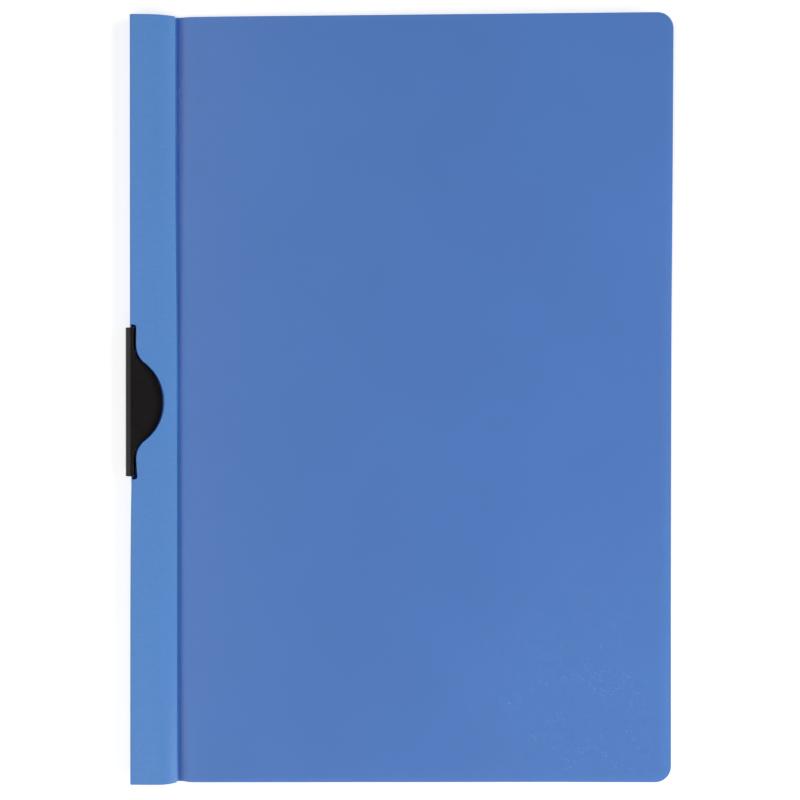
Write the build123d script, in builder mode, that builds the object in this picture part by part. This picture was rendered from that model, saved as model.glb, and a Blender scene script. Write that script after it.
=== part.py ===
from build123d import *
from math import asin, atan, atan2, cos, degrees, hypot, radians, sin
import os

# Clip file for loose sheets, lying flat with its front up and its spine at the low X side.
# Origin: middle of the overall box, on the plane that the file rests on. +Y runs up the page.
# Sections are drawn from the spine edge inwards, with heights above the resting plane.

# Sheets of film
sheet_width = 218.5  # spine edge to free edge
sheet_height = 310.0
corner_radius = 6.5  # at the free edge of both covers
film = 0.4  # coloured film of the back, spine and strip
clear_film = 0.2  # film of the front cover
cover_inset = 0.5  # front cover smaller than the back, on its three free sides

# Spine and front strip, folded from the same film as the back
spine_height = 5.2
fold_radius = 1.1  # outside radius of the two creases of the spine
strip_width = 18.2  # spine edge to the strip's cut edge
strip_edge_height = 1.82  # top of that edge

# Crease that the front cover turns on, and the margin that is welded under the strip
crease_setback = 1.2  # from the strip's edge
cover_gap = 0.3  # air between the front cover and the back, at the crease
weld_width = 4.5
weld_gap = 0.1  # bond line between the margin and the strip
cover_rise = 1.0  # how far the front cover springs up at its free edge
cover_bow = 0.6  # and how far its middle stands above a straight line

# Spring clip, bent from one strip of steel round the web of the spine
clip_y = -1.0
clip_length = 60.0
clip_steel = 0.5
roll_radius = 2.35  # outside
clip_proud = 2.1  # of the spine edge
lip_angle = 215.0  # how far the roll goes round, from its top to its lip
lever_reach = 12.4  # from the spine edge to the lever's tip
lever_bulge = 20.2  # radius of the half-moon
lever_hollow = 9.5  # radius where it runs out into the straight edge
lever_land = 0.6  # straight edge beyond the roll
lever_gap = 0.3  # between the lever's tip and the back cover
clip_corner = 0.5

# Window in the strip for the lever, and slot in the back for the roll
window_edge = 2.8  # from the spine edge to the straight edge
window_reach = 13.7
window_bulge = 20.1
window_hollow = 9.0
window_end_gap = 1.2  # past each end of the clip
slot_reach = 1.8
slot_end_gap = 0.3
slot_corner = 0.5

# Places that follow from these sizes
spine_x = (clip_proud - sheet_width) / 2
roll_in = roll_radius - clip_proud
roll_z = spine_height / 2
roll_inside = roll_radius - clip_steel
window_length = clip_length + 2 * window_end_gap
slot_length = clip_length + 2 * slot_end_gap
crease_in = strip_width + crease_setback
crease_z = film + cover_gap + clear_film

# The strip bows down from the spine on one arc, level at its start
strip_run = strip_width - fold_radius
strip_drop = spine_height - strip_edge_height
bow_radius = (strip_run**2 + strip_drop**2) / (2 * strip_drop)
bow_angle = degrees(2 * atan(strip_drop / strip_run))
bow_centre = (fold_radius, spine_height - bow_radius)

# The lever is the straight line that leaves the roll and ends just above the back cover
tip_in = lever_reach - roll_in
tip_down = roll_z - film - lever_gap
lever_tilt = degrees(atan2(tip_down, tip_in) + asin(roll_inside / hypot(tip_in, tip_down)))
lever_in = roll_in + roll_radius * sin(radians(lever_tilt))
lever_z = roll_z + roll_radius * cos(radians(lever_tilt))
lever_length = (lever_reach - lever_in) / cos(radians(lever_tilt))

# Planes: sections across the spine, and plans seen from the front
across = Plane(origin=(spine_x, 0, 0), x_dir=(1, 0, 0), z_dir=(0, -1, 0))
across_clip = Plane(origin=(spine_x, clip_y, 0), x_dir=(1, 0, 0), z_dir=(0, -1, 0))
page = Plane(origin=(spine_x, 0, 0))
clip_page = Plane(origin=(spine_x, clip_y, 0))
lever_page = Plane(
    origin=(spine_x + lever_in, clip_y, lever_z),
    x_dir=(cos(radians(lever_tilt)), 0, -sin(radians(lever_tilt))),
    z_dir=(sin(radians(lever_tilt)), 0, cos(radians(lever_tilt))),
)


def page_outline(start, inset):
    """A cover from start to the free edge, with its two free corners rounded."""
    width = sheet_width - start - inset
    with Locations((start, 0)):
        cover = Rectangle(width, sheet_height - 2 * inset, align=(Align.MIN, Align.CENTER))
    fillet(cover.vertices().group_by(Axis.X)[-1], radius=corner_radius - inset)


def half_moon(outline, edge, reach, bulge, hollow, length, corner):
    """A straight edge with a half-moon in its middle, solid towards the spine."""
    with Locations((edge, 0)):
        Rectangle(2 * bulge, length, align=(Align.MAX, Align.CENTER))
    with Locations((reach - bulge, 0)):
        Circle(bulge)
    fillet(outline.vertices().group_by(Axis.X)[1].sort_by(Axis.Y)[1:3], radius=hollow)
    straight_ends = outline.vertices().group_by(Axis.X)[1].sort_by(Axis.Y)
    fillet([straight_ends[0], straight_ends[-1]], radius=corner)


# Back cover, flat, with the slot that the roll of the clip turns through
with BuildPart() as back_cover:
    with BuildSketch(page):
        page_outline(fold_radius, 0)
    extrude(amount=film)
    with BuildSketch(clip_page):
        slot = Rectangle(slot_reach, slot_length, align=(Align.MIN, Align.CENTER))
        fillet(slot.vertices().group_by(Axis.X)[-1], radius=slot_corner)
    extrude(amount=film, mode=Mode.SUBTRACT)
back_cover.part.label = "back_cover"

# Spine with its two creases. Between the window and the slot only a flat web is left
with BuildPart() as spine_fold:
    with BuildSketch(across):
        with BuildLine():
            CenterArc((fold_radius, fold_radius), fold_radius, 270, -90)
            Line((0, fold_radius), (0, spine_height - fold_radius))
            CenterArc((fold_radius, spine_height - fold_radius), fold_radius, 180, -90)
            offset(amount=film, side=Side.RIGHT)
        make_face()
    extrude(amount=sheet_height / 2, both=True)
    with BuildSketch(clip_page):
        Rectangle(2 * fold_radius, slot_length)
    extrude(amount=fold_radius, mode=Mode.SUBTRACT)
    with BuildSketch(clip_page.offset(spine_height - fold_radius)):
        Rectangle(2 * fold_radius, window_length)
    extrude(amount=fold_radius, mode=Mode.SUBTRACT)
spine_fold.part.label = "spine_fold"

# Front strip with the half-moon window
with BuildPart() as front_strip:
    with BuildSketch(across):
        with BuildLine():
            CenterArc(bow_centre, bow_radius, 90, -bow_angle)
            offset(amount=film, side=Side.RIGHT)
        make_face()
    extrude(amount=sheet_height / 2, both=True)
    with BuildSketch(clip_page) as window:
        half_moon(
            window, window_edge, window_reach, window_bulge, window_hollow, window_length, slot_corner
        )
    extrude(amount=spine_height, mode=Mode.SUBTRACT)
front_strip.part.label = "front_strip"

# Margin of the clear film, welded under the strip and running out to the crease
with BuildPart() as cover_margin:
    with BuildSketch(across):
        with BuildLine():
            weld_radius = bow_radius - film - weld_gap
            weld_angle = degrees(weld_width / weld_radius)
            weld = CenterArc(bow_centre, weld_radius, 90 - bow_angle + weld_angle, -weld_angle)
            Line(weld @ 1, (crease_in, crease_z))
            Line((crease_in, crease_z), (crease_in, crease_z - clear_film))
            weld_foot = CenterArc(bow_centre, weld_radius - clear_film, 90 - bow_angle, weld_angle)
            Line((crease_in, crease_z - clear_film), weld_foot @ 0)
            Line(weld_foot @ 1, weld @ 0)
        make_face()
    extrude(amount=sheet_height / 2 - cover_inset, both=True)
cover_margin.part.label = "cover_margin"

# Clear front cover, from the crease to the free edge
with BuildPart() as front_cover:
    with BuildSketch(across):
        with BuildLine():
            free_in = sheet_width - cover_inset
            middle = ((crease_in + free_in) / 2, crease_z + cover_rise / 2 + cover_bow)
            ThreePointArc((crease_in, crease_z), middle, (free_in, crease_z + cover_rise))
            offset(amount=clear_film, side=Side.RIGHT)
        make_face()
    extrude(amount=sheet_height / 2, both=True)
    with BuildSketch(page):
        page_outline(strip_width, cover_inset)
    extrude(amount=spine_height, mode=Mode.INTERSECT)
front_cover.part.label = "front_cover"

# Spring clip: lever, roll round the web, and lip
with BuildPart() as swing_clip:
    with BuildSketch(across_clip):
        with BuildLine():
            lever_end = (
                lever_in + 2 * lever_length * cos(radians(lever_tilt)),
                lever_z - 2 * lever_length * sin(radians(lever_tilt)),
            )
            Line(lever_end, (lever_in, lever_z))
            CenterArc((roll_in, roll_z), roll_radius, 90 - lever_tilt, lever_tilt + lip_angle)
            offset(amount=clip_steel, side=Side.LEFT)
        make_face()
    extrude(amount=clip_length / 2, both=True)
    with BuildSketch(lever_page) as blank:
        half_moon(
            blank, lever_land, lever_length, lever_bulge, lever_hollow, clip_length, clip_corner
        )
    extrude(amount=2 * spine_height, both=True, mode=Mode.INTERSECT)
swing_clip.part.label = "swing_clip"

os.makedirs("parts", exist_ok=True)
for piece in (back_cover, spine_fold, front_strip, cover_margin, front_cover, swing_clip):
    export_step(piece.part, f"parts/{piece.part.label}.step")
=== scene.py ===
from math import asin, atan, atan2, ceil, cos, degrees, exp, hypot, pi, radians, sin, sqrt

import bmesh
import bpy
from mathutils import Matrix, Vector
from mathutils.geometry import tessellate_polygon


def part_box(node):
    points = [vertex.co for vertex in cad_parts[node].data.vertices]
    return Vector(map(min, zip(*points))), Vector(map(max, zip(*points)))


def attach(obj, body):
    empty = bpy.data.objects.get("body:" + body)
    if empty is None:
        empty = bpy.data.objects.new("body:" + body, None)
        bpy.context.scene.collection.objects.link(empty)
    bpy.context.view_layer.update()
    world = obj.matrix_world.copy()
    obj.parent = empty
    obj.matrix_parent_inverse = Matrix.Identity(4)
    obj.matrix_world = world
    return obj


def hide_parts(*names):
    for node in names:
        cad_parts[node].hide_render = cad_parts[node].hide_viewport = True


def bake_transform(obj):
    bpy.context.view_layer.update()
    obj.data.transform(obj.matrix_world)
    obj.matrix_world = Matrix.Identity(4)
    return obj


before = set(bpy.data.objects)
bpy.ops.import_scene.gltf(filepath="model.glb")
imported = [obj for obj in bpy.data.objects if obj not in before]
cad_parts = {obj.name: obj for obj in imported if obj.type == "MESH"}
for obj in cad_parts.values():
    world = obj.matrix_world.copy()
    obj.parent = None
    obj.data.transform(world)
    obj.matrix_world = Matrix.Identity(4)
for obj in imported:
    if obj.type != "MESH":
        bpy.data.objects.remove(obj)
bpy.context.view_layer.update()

# Sizes are in millimetres, as in the CAD source. Sections run from the spine edge inwards, with heights
# above the resting plane, and spine_x is where the spine edge lies in the frame.
MM = 0.001
spine_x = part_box("spine_fold")[0].x / MM

# Sheets of film, and the folds of the spine
sheet_height = 310.0
sheet_width = 218.5
corner_radius = 6.5
film = 0.4
clear_film = 0.2
spine_height = 5.2
fold_radius = 1.1
strip_width = 18.2
strip_edge_height = 1.82

# Front cover: the crease that it turns on, and the margin that is welded under the strip
cover_inset = 0.5
free_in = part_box("front_cover")[1].x / MM - spine_x
crease_setback = 1.2
crease_in = strip_width + crease_setback
crease_z = 0.9
cover_rise = 1.0
cover_bow = 0.6
weld_width = 4.5
weld_gap = 0.02

# Painted light and shade along the crease in the clear film, inwards of the spine edge: a pale band beside
# the strip is painted light, and a darker blue beyond it is painted shade of the strip's edge.
# The painted shade lies further in near both ends.
painted_light_start, painted_light_end = 18.4, 18.9
painted_shade_start, painted_shade_end = 19.3, 20.9
painted_shade_shift, shift_start, shift_end = 0.4, 20.0, 120.0

# How use has set the film, read from the outline: the head and its free corner spring up, the foot bows up
# beside the spine, the spine is pressed in below the clip, and the strip is folded a little out of square.
# Each is written as a size, then where along the page, or how far inwards, it starts and runs out.
head_rise, spring_from = 1.1, -122.0
head_flat, head_ease = 5.0, 12.0
back_corner_rise, cover_corner_rise = 3.25, 2.05
foot_rise, foot_from = 1.85, -70.0
foot_bow_in, foot_bow_out = 15.0, 155.0
crease_rise, crease_reach = 0.2, 3.0
spine_press, press_from, press_run, press_ease = 0.55, -24.0, 10.0, 25.0
strip_skew, skew_from, skew_run, skew_out = (-0.33, 0.18), 20.0, 70.0, 30.0
free_edge_taper, taper_from, taper_run = 0.2, 97.0, 73.0

# Spring clip
clip_y = -1.0
clip_length = 60.0
clip_steel = 0.5
clip_edge = 0.2
roll_radius = 2.35
roll_in = 0.25
lip_angle = 215.0
lever_reach = 12.4
lever_gap = 0.3
lever_bulge, lever_hollow, lever_land, clip_corner = 20.2, 9.5, 0.6, 0.5

# Window in the strip, and slot in the back, which is narrower here so that the floor doesn't show through
window_edge, window_reach, window_bulge, window_hollow = 2.8, 13.7, 20.1, 9.0
window_length, window_corner = 62.4, 1.2
slot_reach, slot_length, slot_corner = 1.45, 60.1, 0.5

# Faces that meet at more than sharp_angle degrees keep a sharp edge, and points within same_point are one
sharp_angle = 50.0
same_point = 1e-5

# What follows from them: the strip's bow and the lever's slope
strip_run = strip_width - fold_radius
strip_drop = spine_height - strip_edge_height
bow_radius = (strip_run**2 + strip_drop**2) / (2 * strip_drop)
bow_angle = 2 * atan(strip_drop / strip_run)
bow_centre = (fold_radius, spine_height - bow_radius)
roll_z = spine_height / 2
tip_in, tip_down = lever_reach - roll_in, roll_z - film - lever_gap
lever_tilt = atan2(tip_down, tip_in) + asin((roll_radius - clip_steel) / hypot(tip_in, tip_down))
lever_in = roll_in + roll_radius * sin(lever_tilt)
lever_z = roll_z + roll_radius * cos(lever_tilt)
lever_length = (lever_reach - lever_in) / cos(lever_tilt)


def srgb(code):
    """A colour written as sRGB hex, in linear light."""
    parts = [int(code[i : i + 2], 16) / 255 for i in (1, 3, 5)]
    return [c / 12.92 if c <= 0.04045 else ((c + 0.055) / 1.055) ** 2.4 for c in parts] + [1.0]


def add_node(tree, kind, inputs=(), **settings):
    """Adds one node with its settings. Its inputs are given in the node's own order or by name, each as
    a value or as the socket that feeds it."""
    node = tree.nodes.new(kind)
    for name, value in settings.items():
        setattr(node, name, value)
    for name, value in inputs.items() if isinstance(inputs, dict) else enumerate(inputs):
        if isinstance(value, bpy.types.NodeSocket):
            tree.links.new(value, node.inputs[name])
        else:
            node.inputs[name].default_value = value
    return node


def arc(centre, radius, start, end, step=4.0):
    """Points on an arc, with its angles in radians."""
    count = max(2, ceil(abs(degrees(end - start)) / step))
    angles = [start + (end - start) * i / count for i in range(count + 1)]
    return [(centre[0] + radius * cos(a), centre[1] + radius * sin(a)) for a in angles]


def half_moon(edge, reach, bulge, hollow, length, corner):
    """A straight edge with a half-moon in its middle, from its lower end to its upper end."""
    middle = reach - bulge
    hollow_y = sqrt((bulge + hollow) ** 2 - (edge + hollow - middle) ** 2)
    turn = atan2(hollow_y, edge + hollow - middle)
    lower = arc((edge - corner, corner - length / 2), corner, -pi / 2, 0, 15)
    lower += arc((edge + hollow, -hollow_y), hollow, pi, pi - turn)
    upper = [(x, -y) for x, y in reversed(lower)]
    return lower + arc((middle, 0), bulge, -turn, turn, 2)[1:-1] + upper


def stations(start, end, step):
    """Even places from start to end, both included, at most step apart."""
    count = max(1, ceil((end - start) / step))
    return [start + (end - start) * i / count for i in range(count + 1)]


def inset(loop, amount):
    """The loop moved by amount to its left, which is into the sheet."""
    moved = []
    for i, here in enumerate(loop):
        a = (Vector(here) - Vector(loop[i - 1])).normalized()
        b = (Vector(loop[(i + 1) % len(loop)]) - Vector(here)).normalized()
        left = (Vector((-a.y, a.x)) + Vector((-b.y, b.x))).normalized()
        moved.append(Vector(here) + left * amount / max(0.3, left.dot(Vector((-a.y, a.x)))))
    return moved


def die_cut(name, loops, thickness, edge_round, across, along):
    """A flat sheet with its front face at height 0, cut at stations so that it can bend.
    The first loop is its outline, anticlockwise, and the others are holes, clockwise."""
    if edge_round:
        turns = stations(0, pi / 2, 0.55)
        quarter = [(edge_round * (1 - sin(t)), -edge_round * (1 - cos(t))) for t in turns]
        profile = quarter + [(i, -thickness - h) for i, h in reversed(quarter)]
    else:
        profile = [(0.0, 0.0), (0.0, -thickness)]
    bm = bmesh.new()
    rings = []
    for amount, height in profile:
        cut = [inset(loop, amount) if amount else loop for loop in loops]
        rings.append([[bm.verts.new((*p[:2], height)) for p in loop] for loop in cut])
    flat = [[Vector((*v.co[:2], 0)) for v in ring] for ring in rings[0]]
    for ring, top in ((rings[0], True), (rings[-1], False)):
        verts = [v for loop in ring for v in loop]
        for corners in tessellate_polygon(flat):
            a, b, c = (verts[i] for i in corners)
            upward = (b.co - a.co).cross(c.co - a.co).z > 0
            bm.faces.new((a, b, c) if upward == top else (a, c, b))
    for above, below in zip(rings, rings[1:]):
        for upper, lower in zip(above, below):
            for i in range(len(upper)):
                bm.faces.new((lower[i - 1], lower[i], upper[i], upper[i - 1]))
    for axis, places in (((1, 0, 0), across), ((0, 1, 0), along)):
        for place in places:
            everything = bm.verts[:] + bm.edges[:] + bm.faces[:]
            bmesh.ops.bisect_plane(
                bm, geom=everything, dist=same_point, plane_co=Vector(axis) * place, plane_no=axis
            )
    bmesh.ops.remove_doubles(bm, verts=bm.verts, dist=same_point)
    bmesh.ops.scale(bm, vec=(MM, MM, MM), verts=bm.verts)
    mesh = bpy.data.meshes.new(name)
    bm.to_mesh(mesh)
    bm.free()
    piece = bpy.data.objects.new(name, mesh)
    bpy.context.scene.collection.objects.link(piece)
    return piece


def bend_tree():
    """Lays a flat sheet along a section curve. A point's X is its distance along the section, and its
    height stays its distance from the section. The blank's front becomes the outer side."""
    tree = bpy.data.node_groups.new("bend_along_section", "GeometryNodeTree")
    for name, kind in (
        ("Blank", "Geometry"),
        ("Section", "Object"),
        ("Outer Side", "Material"),
        ("Inner Side", "Material"),
    ):
        tree.interface.new_socket(name, in_out="INPUT", socket_type="NodeSocket" + kind)
    tree.interface.new_socket("Sheet", in_out="OUTPUT", socket_type="NodeSocketGeometry")
    given = add_node(tree, "NodeGroupInput").outputs
    place = add_node(tree, "GeometryNodeInputPosition").outputs[0]
    flat = add_node(tree, "ShaderNodeSeparateXYZ", {0: place}).outputs
    section = add_node(tree, "GeometryNodeObjectInfo", {"Object": given["Section"]}).outputs["Geometry"]
    along = add_node(
        tree, "GeometryNodeSampleCurve", {"Curves": section, "Length": flat["X"]}, mode="LENGTH"
    ).outputs
    page = (0, 1, 0)
    outward = add_node(
        tree, "ShaderNodeVectorMath", {0: along["Tangent"], 1: page}, operation="CROSS_PRODUCT"
    ).outputs[0]
    off = add_node(
        tree, "ShaderNodeVectorMath", {0: outward, "Scale": flat["Z"]}, operation="SCALE"
    ).outputs[0]
    up = add_node(tree, "ShaderNodeCombineXYZ", {"Y": flat["Y"]}).outputs[0]
    on_section = add_node(tree, "ShaderNodeVectorMath", {0: along["Position"], 1: off}).outputs[0]
    bent = add_node(tree, "ShaderNodeVectorMath", {0: on_section, 1: up}).outputs[0]
    facing = add_node(tree, "GeometryNodeInputNormal").outputs[0]
    facing = add_node(tree, "ShaderNodeSeparateXYZ", {0: facing}).outputs["Z"]
    front = add_node(tree, "FunctionNodeCompare", {0: facing, 1: 0.5}, operation="GREATER_THAN").outputs[0]
    marked = add_node(tree, "GeometryNodeCaptureAttribute", domain="FACE")
    marked.capture_items.new("BOOLEAN", "Front")
    tree.links.new(given["Blank"], marked.inputs[0])
    tree.links.new(front, marked.inputs[1])
    moved = add_node(tree, "GeometryNodeSetPosition", {"Geometry": marked.outputs[0], "Position": bent})
    real = add_node(tree, "GeometryNodeRealizeInstances", {"Geometry": moved.outputs[0]})
    inner = add_node(
        tree, "GeometryNodeSetMaterial", {"Geometry": real.outputs[0], "Material": given["Inner Side"]}
    )
    made = add_node(
        tree,
        "GeometryNodeSetMaterial",
        {"Geometry": inner.outputs[0], "Selection": marked.outputs[1], "Material": given["Outer Side"]},
    )
    add_node(tree, "NodeGroupOutput", {"Sheet": made.outputs[0]})
    return tree


def bend(piece, section, tree, outer, inner):
    """Bends a die-cut piece along a section and leaves it a plain smooth mesh, placed by its vertices."""
    curve = bpy.data.curves.new(piece.name + "_section", "CURVE")
    curve.dimensions = "3D"
    spline = curve.splines.new("POLY")
    spline.points.add(len(section) - 1)
    for point, (inwards, height) in zip(spline.points, section):
        point.co = ((spine_x + inwards) * MM, 0, height * MM, 1)
    line = bpy.data.objects.new(curve.name, curve)
    bpy.context.scene.collection.objects.link(line)
    modifier = piece.modifiers.new("bend", "NODES")
    modifier.node_group = tree
    sockets = {s.name: s.identifier for s in tree.interface.items_tree if s.in_out == "INPUT"}
    modifier[sockets["Section"]] = line
    modifier[sockets["Outer Side"]] = outer
    modifier[sockets["Inner Side"]] = inner
    graph = bpy.context.evaluated_depsgraph_get()
    bent = bpy.data.meshes.new_from_object(piece.evaluated_get(graph))
    piece.modifiers.clear()
    piece.data = bent
    bent.name = piece.name
    bpy.data.objects.remove(line)
    bent.polygons.foreach_set("use_smooth", [True] * len(bent.polygons))
    bent.set_sharp_from_angle(angle=radians(sharp_angle))
    return piece


def texture(kind, size_mm, tree, coords, stretch=(1, 1, 1), **inputs):
    """A pattern whose features are about size_mm wide, stretched along the axes."""
    scale = [1 / (MM * size_mm * s) for s in stretch]
    placed = add_node(tree, "ShaderNodeMapping", {"Vector": coords, "Scale": scale}).outputs[0]
    return add_node(tree, kind, {"Vector": placed, "Scale": 1.0, **inputs}).outputs["Fac"]


def new_material(name):
    """An empty material, its node tree, and the object's own coordinates in it."""
    material = bpy.data.materials.new(name)
    material.use_nodes = True
    material.node_tree.nodes.clear()
    coords = add_node(material.node_tree, "ShaderNodeTexCoord").outputs["Object"]
    return material, material.node_tree, coords


# In the materials, a Map Range node's inputs are its value, the low and high that it starts from, and what
# those two become. Most of a noise pattern's values lie within noise_span.
noise_span = (0.3, 0.7)
pvc_ior = 1.53


# Outer side of the soft PVC film, embossed by a steel roller with a fine grain. The grain breaks up its
# shine and greys it a little, and short drawn streaks run across the page.
def embossed_pvc():
    material, tree, coords = new_material("embossed_pvc_film")
    grain = texture("ShaderNodeTexNoise", 0.8, tree, coords, Detail=3.0)
    streaks = texture("ShaderNodeTexNoise", 0.8, tree, coords, (4.0, 0.5, 4.0))
    broad = texture("ShaderNodeTexNoise", 70.0, tree, coords)
    tone = add_node(tree, "ShaderNodeMapRange", (grain, *noise_span, 0.965, 1.035)).outputs[0]
    for pattern, span, low, high in (
        (streaks, (0.35, 0.75), 0.975, 1.035),
        (broad, noise_span, 0.98, 1.02),
    ):
        change = add_node(tree, "ShaderNodeMapRange", (pattern, *span, low, high)).outputs[0]
        tone = add_node(tree, "ShaderNodeMath", (tone, change), operation="MULTIPLY").outputs[0]
    blue = {0: srgb("#588fd6")[:3], "Scale": tone}
    bump = {"Height": grain, "Strength": 0.5, "Distance": 0.06 * MM}
    finish = {
        "Base Color": add_node(tree, "ShaderNodeVectorMath", blue, operation="SCALE").outputs[0],
        "Roughness": 0.5,
        "IOR": pvc_ior,
        "Normal": add_node(tree, "ShaderNodeBump", bump).outputs[0],
    }
    shader = add_node(tree, "ShaderNodeBsdfPrincipled", finish).outputs[0]
    add_node(tree, "ShaderNodeOutputMaterial", {"Surface": shader})
    return material


# Inner side of the same film, pressed smooth, so it is silky and its colour shifts only slowly
def smooth_pvc():
    material, tree, coords = new_material("smooth_pvc_film")
    broad = texture("ShaderNodeTexNoise", 45.0, tree, coords)
    silk = texture("ShaderNodeTexNoise", 3.0, tree, coords)
    tone = add_node(tree, "ShaderNodeMapRange", (broad, *noise_span, 0.98, 1.02)).outputs[0]
    blue = {0: srgb("#5a8fd9")[:3], "Scale": tone}
    finish = {
        "Base Color": add_node(tree, "ShaderNodeVectorMath", blue, operation="SCALE").outputs[0],
        "Roughness": add_node(tree, "ShaderNodeMapRange", (silk, *noise_span, 0.4, 0.46)).outputs[0],
        "IOR": pvc_ior,
    }
    shader = add_node(tree, "ShaderNodeBsdfPrincipled", finish).outputs[0]
    add_node(tree, "ShaderNodeOutputMaterial", {"Surface": shader})
    return material


def dust_and_painted_light_patches(tree, coords):
    """Two patches where the clear film was handled, 1 in the middle of the stronger one. Dust gathers in
    them, and the film shows less there, which brightens the cover as painted light.
    """
    patches_of_dust_and_light = 0.0
    for centre, radius, amount in (((88, -128, 0), 85, 1.0), ((-52, 105, 0), 70, 0.4)):
        middle = [c * MM for c in centre]
        reach = add_node(tree, "ShaderNodeVectorMath", (coords, middle), operation="DISTANCE")
        patch = (reach.outputs["Value"], radius * MM, radius * 0.3 * MM, 0.0, amount)
        patch = add_node(tree, "ShaderNodeMapRange", patch).outputs[0]
        patches_of_dust_and_light = add_node(tree, "ShaderNodeMath", (patch, patches_of_dust_and_light), operation="MAXIMUM").outputs[0]
    return patches_of_dust_and_light


def caught_dust(tree, coords, patches_of_dust_and_light):
    """Specks of dust, in clumps, where the film was handled."""
    specks = texture("ShaderNodeTexNoise", 0.6, tree, coords, Detail=0.0)
    clumps = texture("ShaderNodeTexNoise", 9.0, tree, coords, Detail=0.0)
    dust = add_node(tree, "ShaderNodeMapRange", (specks, 0.7, 0.82, 0.0, 1.0)).outputs[0]
    clumped = add_node(tree, "ShaderNodeMapRange", (clumps, 0.4, 0.65, 0.2, 1.0)).outputs[0]
    for share in (clumped, patches_of_dust_and_light):
        dust = add_node(tree, "ShaderNodeMath", (dust, share), operation="MULTIPLY").outputs[0]
    return dust


def crease_painted_light_and_shade(tree, coords):
    """Painted light and shade along the crease: how far past the painted pale band, how dark the painted
    shade is, and how much it shows.
    """
    inwards, up, _ = add_node(tree, "ShaderNodeSeparateXYZ", (coords,)).outputs
    skew = (up, skew_from * MM, (skew_from + skew_run) * MM, strip_skew[1] * MM, strip_skew[0] * MM)
    skew = add_node(tree, "ShaderNodeMapRange", skew).outputs[0]
    off_strip = add_node(tree, "ShaderNodeMath", (inwards, skew), operation="SUBTRACT").outputs[0]
    from_middle = add_node(tree, "ShaderNodeMath", (up, 0.0), operation="ABSOLUTE").outputs[0]
    shift = (from_middle, shift_start * MM, shift_end * MM, 0.0, painted_shade_shift * MM)
    shift = add_node(tree, "ShaderNodeMapRange", shift).outputs[0]
    off_crease = add_node(tree, "ShaderNodeMath", (inwards, shift), operation="SUBTRACT").outputs[0]
    painted_light_blue = (off_strip, (spine_x + painted_light_start) * MM, (spine_x + painted_light_end) * MM, 0.0, 1.0)
    painted_shade = (off_crease, (spine_x + painted_shade_start) * MM, (spine_x + painted_shade_end) * MM, 1.0, 0.0)
    past_painted_light = add_node(tree, "ShaderNodeMapRange", painted_light_blue).outputs[0]
    painted_shade = add_node(tree, "ShaderNodeMapRange", painted_shade).outputs[0]
    # The painted shade is deeper towards the head
    foot_shade_strength, head_shade_strength = 0.14, 0.19
    painted_shade_strength = (up, -150 * MM, 150 * MM, foot_shade_strength, head_shade_strength)
    painted_shade_strength = add_node(tree, "ShaderNodeMapRange", painted_shade_strength).outputs[0]
    painted_shade_strength = add_node(tree, "ShaderNodeMath", (painted_shade, painted_shade_strength), operation="MULTIPLY").outputs[0]
    return past_painted_light, painted_shade, painted_shade_strength


# Clear PVC film, glossy. Its reflection is painted: a violet colour is shown over the back, at a share that
# grows where the film is seen edgeways.
# It shows less in two patches, which brightens the cover there as painted light, and more at the crease,
# where a pale band beside the strip is painted light and a darker blue beyond it is painted shade, and at
# specks of dust.
def clear_pvc():
    material, tree, coords = new_material("clear_pvc_film")
    faced_gloss, painted_brightening, speck_shows = 0.042, 0.015, 0.2
    patches_of_dust_and_light = dust_and_painted_light_patches(tree, coords)
    dust = caught_dust(tree, coords, patches_of_dust_and_light)
    past_painted_light, painted_shade, painted_crease_shade = crease_painted_light_and_shade(tree, coords)
    # Painted reflection: the violet colour shows at this share, which grows where the film is seen edgeways
    edgeways = add_node(tree, "ShaderNodeLayerWeight", {"Blend": 0.5}).outputs["Facing"]
    steep = add_node(tree, "ShaderNodeMath", (edgeways, 5.0), operation="POWER").outputs[0]
    shown = add_node(tree, "ShaderNodeMapRange", (steep, 0.0, 1.0, faced_gloss, 1.0)).outputs[0]
    # Painted light: the film shows less in the patches, so the cover reads brighter there
    brightening = (patches_of_dust_and_light, painted_brightening)
    brightening = add_node(tree, "ShaderNodeMath", brightening, operation="MULTIPLY").outputs[0]
    specks_show = add_node(tree, "ShaderNodeMath", (dust, speck_shows), operation="MULTIPLY").outputs[0]
    shown = add_node(tree, "ShaderNodeMath", (shown, brightening), operation="SUBTRACT").outputs[0]
    for more in (painted_crease_shade, specks_show):
        shown = add_node(tree, "ShaderNodeMath", (shown, more), operation="ADD").outputs[0]
    speckled = add_node(tree, "ShaderNodeMapRange", (dust, 0.0, 0.1, 0.0, 1.0)).outputs[0]
    # The pale blue beside the strip is painted light, and the deep blue beyond it is painted shade
    painted_reflection_violet, painted_light_blue, painted_shade_blue, dusty = (srgb(c) for c in ("#6449ae", "#61bcff", "#1f50c4", "#b4d4f6"))
    colour = {0: past_painted_light, 6: painted_light_blue, 7: painted_shade_blue}
    colour = add_node(tree, "ShaderNodeMix", colour, data_type="RGBA").outputs[2]
    colour = {0: painted_shade, 6: painted_reflection_violet, 7: colour}
    colour = add_node(tree, "ShaderNodeMix", colour, data_type="RGBA").outputs[2]
    colour = {0: speckled, 6: colour, 7: dusty}
    colour = add_node(tree, "ShaderNodeMix", colour, data_type="RGBA").outputs[2]
    finish = {"Base Color": colour, "Roughness": 0.15, "IOR": pvc_ior, "Alpha": shown}
    shader = add_node(tree, "ShaderNodeBsdfPrincipled", finish).outputs[0]
    add_node(tree, "ShaderNodeOutputMaterial", {"Surface": shader})
    return material


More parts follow.
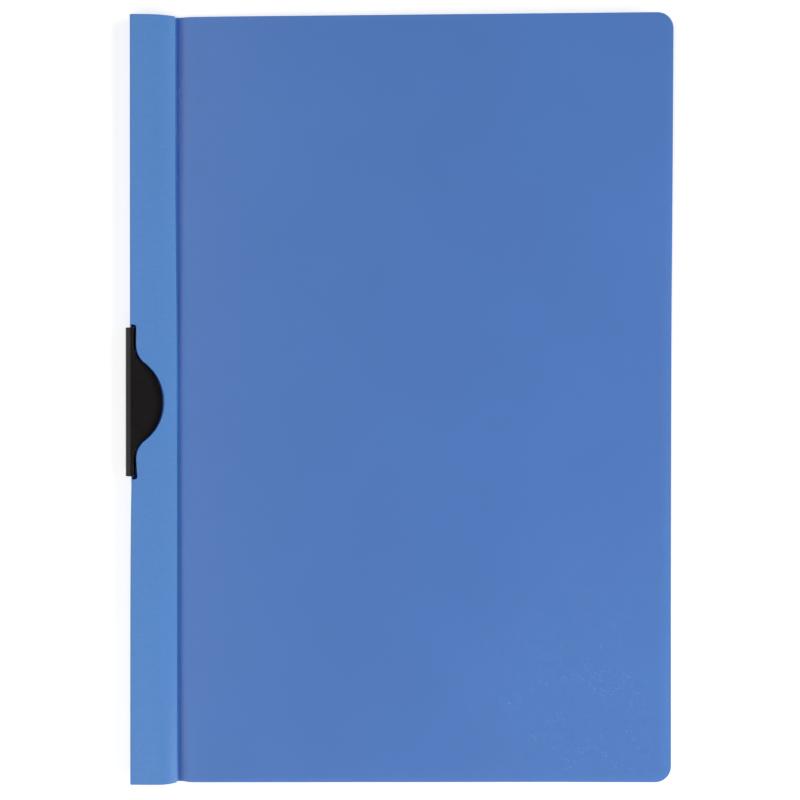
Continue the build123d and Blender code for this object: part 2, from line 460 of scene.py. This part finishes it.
# Spring steel strip, blanked, rolled and dipped in black lacquer. The lacquer is smooth on the lever
# and softens the sheared edges.
def black_lacquer():
    material, tree, coords = new_material("black_lacquered_spring_steel")
    orange_peel = texture("ShaderNodeTexNoise", 1.5, tree, coords)
    bump = {"Height": orange_peel, "Strength": 0.15, "Distance": 0.02 * MM}
    finish = {
        "Base Color": srgb("#100c0b"),
        "Roughness": add_node(tree, "ShaderNodeMapRange", (orange_peel, *noise_span, 0.31, 0.38)).outputs[0],
        "IOR": 1.46,
        "Normal": add_node(tree, "ShaderNodeBump", bump).outputs[0],
    }
    shader = add_node(tree, "ShaderNodeBsdfPrincipled", finish).outputs[0]
    add_node(tree, "ShaderNodeOutputMaterial", {"Surface": shader})
    return material


embossed = embossed_pvc()
smooth = smooth_pvc()
clear = clear_pvc()
lacquer = black_lacquer()
bending = bend_tree()
page_half = sheet_height / 2
slot_low, slot_high = clip_y - slot_length / 2, clip_y + slot_length / 2


def held(value):
    """The value, kept from 0 to 1."""
    return min(max(value, 0.0), 1.0)


def eased(value):
    """The same, starting and ending gently."""
    return held(value) ** 2 * (3 - 2 * held(value))


def rise_by_use(inwards, y, corner_rise):
    """How far the head, its free corner and the foot stand up at a place on the sheet."""
    past_crease = held((inwards - crease_in) / (free_in - crease_in))
    head = held((y - spring_from) / (page_half - spring_from)) ** 2
    head *= head_rise * (1 - exp(-max(0.0, inwards - head_flat) / head_ease)) + corner_rise * past_crease
    foot = held((foot_from - y) / (page_half + foot_from)) ** 2
    foot *= foot_rise * held((inwards - fold_radius) / foot_bow_in)
    return head + foot * held(1 - (inwards - foot_bow_in) / foot_bow_out)


def set_by_use(piece, corner_rise):
    """Moves the film to where use has set it. It is held down along the crease, which stays on its hinge
    line. Its free edge was cut a little narrower towards the foot, and what lies above the back is skewed."""
    top = spine_height - 0.01
    for vertex in piece.data.vertices:
        inwards, y, height = vertex.co.x / MM - spine_x, vertex.co.y / MM, vertex.co.z / MM
        past_crease = held((inwards - crease_in) / (free_in - crease_in))
        rise = rise_by_use(inwards, y, corner_rise)
        held_down = max(0.0, rise_by_use(crease_in, y, corner_rise) - crease_rise)
        rise -= held_down * exp(-(((inwards - crease_in) / crease_reach) ** 2))
        across = held((inwards - fold_radius) / strip_run)
        if 0 < across < 1:
            bow_top = spine_height - bow_radius + sqrt(bow_radius**2 - (inwards - fold_radius) ** 2)
            rise = min(rise, top - bow_top) if bow_top < top else 0.0
        skew = strip_skew[1] + (strip_skew[0] - strip_skew[1]) * eased((y - skew_from) / skew_run)
        skew *= across * held(1 - (inwards - crease_in) / skew_out)
        press = eased((press_from - y) / press_run)
        press *= exp(-max(0.0, press_from - press_run - y) / press_ease)
        press *= spine_press * (1 - across) * eased(height / roll_z)
        vertex.co.z += rise * MM
        vertex.co.x -= free_edge_taper * past_crease * eased((taper_from - y) / taper_run) * MM
        if piece.name != "back_film":
            vertex.co.x += (skew + press) * MM


# Back cover, cut from the same film: its embossed side is underneath. It runs from the free edge to the fold
fold_at = sheet_width - fold_radius
slot_at = sheet_width - slot_reach
crease_off = sheet_width - crease_in
low_corner = arc((corner_radius, corner_radius - page_half), corner_radius, pi, 1.5 * pi, 6)
slot_end = arc((slot_at + slot_corner, slot_low + slot_corner), slot_corner, 1.5 * pi, pi, 15)
back_outline = low_corner + [(fold_at, -page_half), (fold_at, slot_low)] + slot_end
back_outline += [(x, 2 * clip_y - y) for x, y in reversed(slot_end)]
back_outline += [(fold_at, slot_high), (fold_at, page_half)] + [(x, -y) for x, y in reversed(low_corner)]
back = die_cut(
    "back_film",
    [back_outline],
    film,
    0,
    stations(0, fold_at, 8)[1:-1] + stations(crease_off - 8, crease_off + 8, 1),
    stations(-page_half, page_half, 8)[1:-1],
)
bend(back, [(sheet_width, 0), (fold_radius, 0)], bending, embossed, smooth)
set_by_use(back, back_corner_rise)

# Spine and front strip: one piece of film folded twice, with the half-moon window. A web is left
# between the window and the slot, and the clip is rolled round it.
fold_length = fold_radius * pi / 2
wall_top = spine_height - fold_radius
web_end = fold_length + wall_top - fold_radius
strip_start = web_end + fold_length
strip_end = strip_start + bow_radius * bow_angle
spine_section = (
    arc((fold_radius, fold_radius), fold_radius, 1.5 * pi, pi, 3)
    + arc((fold_radius, wall_top), fold_radius, pi, pi / 2, 3)
    + arc(bow_centre, bow_radius, pi / 2, pi / 2 - bow_angle, 0.5)[1:]
)
moon = half_moon(window_edge, window_reach, window_bulge, window_hollow, window_length, window_corner)
window = [(strip_start + bow_radius * asin((x - fold_radius) / bow_radius), y + clip_y) for x, y in moon]
window = [(web_end, clip_y - window_length / 2)] + window + [(web_end, clip_y + window_length / 2)]
blank = [
    (0, -page_half),
    (strip_end, -page_half),
    (strip_end, page_half),
    (0, page_half),
    (0, slot_high),
    (fold_length, slot_high),
    (fold_length, slot_low),
    (0, slot_low),
]
spine_cuts = (
    stations(0, fold_length, 0.15)[1:]
    + stations(web_end, strip_start, 0.15)
    + stations(strip_start, strip_end, 1.0)[1:-1]
)
spine_and_strip = die_cut(
    "folded_spine_and_strip",
    [blank, window[::-1]],
    film,
    0,
    spine_cuts,
    stations(-page_half, page_half, 10)[1:-1],
)
bend(spine_and_strip, spine_section, bending, embossed, smooth)
set_by_use(spine_and_strip, 0.0)

# Front cover: one clear film with its margin under the strip, the crease, and its rounded free corners
weld_radius = bow_radius - film - weld_gap
weld_turn = weld_width / weld_radius
edge_angle = pi / 2 - bow_angle
weld = arc(bow_centre, weld_radius, edge_angle + weld_turn, edge_angle, 0.5)
crease_at = weld_width + hypot(crease_in - weld[-1][0], crease_z - weld[-1][1])
chord = hypot(free_in - crease_in, cover_rise)
cover_radius = (chord**2 / 4 + cover_bow**2) / (2 * cover_bow)
cover_turn = 2 * asin(chord / 2 / cover_radius)
slope = atan2(cover_rise, free_in - crease_in)
cover_middle = (
    (crease_in + free_in) / 2 + (cover_radius - cover_bow) * sin(slope),
    crease_z + cover_rise / 2 - (cover_radius - cover_bow) * cos(slope),
)
first = pi / 2 + slope + cover_turn / 2
cover_section = weld + arc(cover_middle, cover_radius, first, first - cover_turn, 0.05)
cover_end = crease_at + cover_radius * cover_turn
cover_half = page_half - cover_inset
cover_corner = corner_radius - cover_inset
corner_at = (cover_end - cover_corner, cover_half - cover_corner)
upper_corner = arc(corner_at, cover_corner, 0, pi / 2, 6)
lower_corner = [(x, -y) for x, y in reversed(upper_corner)]
cover_outline = [(0, -cover_half), *lower_corner, *upper_corner, (0, cover_half)]
clear_cover = die_cut(
    "clear_cover_with_margin",
    [cover_outline],
    clear_film,
    0,
    stations(0, weld_width, 0.75)[1:]
    + stations(crease_at - 0.6, crease_at + 0.6, 0.1)
    + stations(crease_at + 1, crease_at + 8, 1)
    + stations(crease_at, cover_end, 8)[1:-1],
    stations(-cover_half, cover_half, 8)[1:-1],
)
bend(clear_cover, cover_section, bending, clear, clear)
set_by_use(clear_cover, cover_corner_rise)

# Spring clip: lever, roll and lip, blanked with rounded edges and rolled
roll_turn = radians(lip_angle) + lever_tilt
roll_length = roll_radius * roll_turn
lever_end = (lever_in + lever_length * cos(lever_tilt), lever_z - lever_length * sin(lever_tilt))
clip_section = arc((roll_in, roll_z), roll_radius, pi / 2 + radians(lip_angle), pi / 2 - lever_tilt, 2)
clip_section += [
    tuple(a + (b - a) * t for a, b in zip((lever_in, lever_z), lever_end)) for t in stations(0, 1, 0.1)[1:]
]
lever = half_moon(lever_land, lever_length, lever_bulge, lever_hollow, clip_length, clip_corner)
clip_outline = [(0, clip_y - clip_length / 2)]
clip_outline += [(roll_length + x, y + clip_y) for x, y in lever]
clip_outline += [(0, clip_y + clip_length / 2)]
clip = die_cut(
    "rolled_spring_clip",
    [clip_outline],
    clip_steel,
    clip_edge,
    stations(0, roll_length, 0.25)[1:],
    stations(clip_y - clip_length / 2, clip_y + clip_length / 2, 6)[1:-1],
)
bend(clip, clip_section, bending, lacquer, lacquer)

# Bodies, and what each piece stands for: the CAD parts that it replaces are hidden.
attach(back, "back")
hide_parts("back_cover")
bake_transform(spine_and_strip)
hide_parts("spine_fold", "front_strip")
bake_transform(clear_cover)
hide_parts("cover_margin", "front_cover")
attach(clip, "clip")
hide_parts("swing_clip")

# Floor: white paper, lifted to white for the camera, gloss and clear film, and keeping its shadows
floor_half, floor_drop, floor_glow = 6.0, 0.05 * MM, 0.45
floor_corners = [(x * floor_half, y * floor_half, 0) for x, y in ((-1, -1), (1, -1), (1, 1), (-1, 1))]
floor_mesh = bpy.data.meshes.new("floor")
floor_mesh.from_pydata(floor_corners, [], [(0, 1, 2, 3)])
floor = bpy.data.objects.new("floor", floor_mesh)
bpy.context.scene.collection.objects.link(floor)
paper, tree, _ = new_material("matt_white_paper")
diffuse = add_node(tree, "ShaderNodeBsdfDiffuse", {"Color": srgb("#eeeeee")}).outputs[0]
ray = add_node(tree, "ShaderNodeLightPath").outputs
seen = ray["Is Camera Ray"]
for kind in ("Is Glossy Ray", "Is Transmission Ray"):
    seen = add_node(tree, "ShaderNodeMath", (seen, ray[kind]), operation="MAXIMUM").outputs[0]
strength = add_node(tree, "ShaderNodeMath", (seen, floor_glow), operation="MULTIPLY").outputs[0]
glow = add_node(tree, "ShaderNodeEmission", {"Strength": strength}).outputs[0]
shader = add_node(tree, "ShaderNodeAddShader", (diffuse, glow)).outputs[0]
add_node(tree, "ShaderNodeOutputMaterial", {"Surface": shader})
floor.data.materials.append(paper)
floor.location.z = -floor_drop

# World: even light grey for the object, white where the camera sees it
room_light = 0.12
world = bpy.data.worlds.new("studio")
bpy.context.scene.world = world
world.use_nodes = True
tree = world.node_tree
tree.nodes.clear()
ray = add_node(tree, "ShaderNodeLightPath").outputs
strength = {"Value": ray["Is Camera Ray"], "To Min": room_light, "To Max": 1.0}
strength = add_node(tree, "ShaderNodeMapRange", strength).outputs[0]
background = add_node(tree, "ShaderNodeBackground", {"Color": (1, 1, 1, 1), "Strength": strength})
add_node(tree, "ShaderNodeOutputWorld", {"Surface": background.outputs[0]})

# Soft boxes: a large one on the spine's side, a low long one on the other, and one past the page's foot
for name, place, size, power in (
    ("spine_side_box", (-0.707, 0.0, 0.707), (2.0, 1.15), 7.5),
    ("free_side_box", (0.9, 0.0, 0.44), (1.4, 0.4), 8.9),
    ("foot_box", (0.0, -0.95, 0.6), (0.9, 0.4), 3.3),
):
    light = bpy.data.lights.new(name, "AREA")
    light.shape = "RECTANGLE"
    light.size, light.size_y = size
    light.energy = power
    lamp = bpy.data.objects.new(name, light)
    lamp.location = place
    lamp.rotation_euler = (-Vector(place)).to_track_quat("-Z", "Y").to_euler()
    bpy.context.scene.collection.objects.link(lamp)

# Camera, straight above, fitted to the outline in the photograph, which is photo_side pixels wide
photo_side, focal_pixels, sensor = 800, 1084.29, 36.0
camera_place = (0.005129, -0.00005, 0.440)
camera_turn = (-0.00059, 0.01035, -0.0006)
camera_data = bpy.data.cameras.new("camera")
camera_data.sensor_width = sensor
camera_data.lens = focal_pixels / photo_side * sensor
camera_data.clip_start, camera_data.clip_end = 0.01, 20.0
camera = bpy.data.objects.new("camera", camera_data)
camera.location = camera_place
camera.rotation_euler = camera_turn
bpy.context.scene.collection.objects.link(camera)
bpy.context.scene.camera = camera
bpy.context.scene.view_settings.view_transform = "Standard"
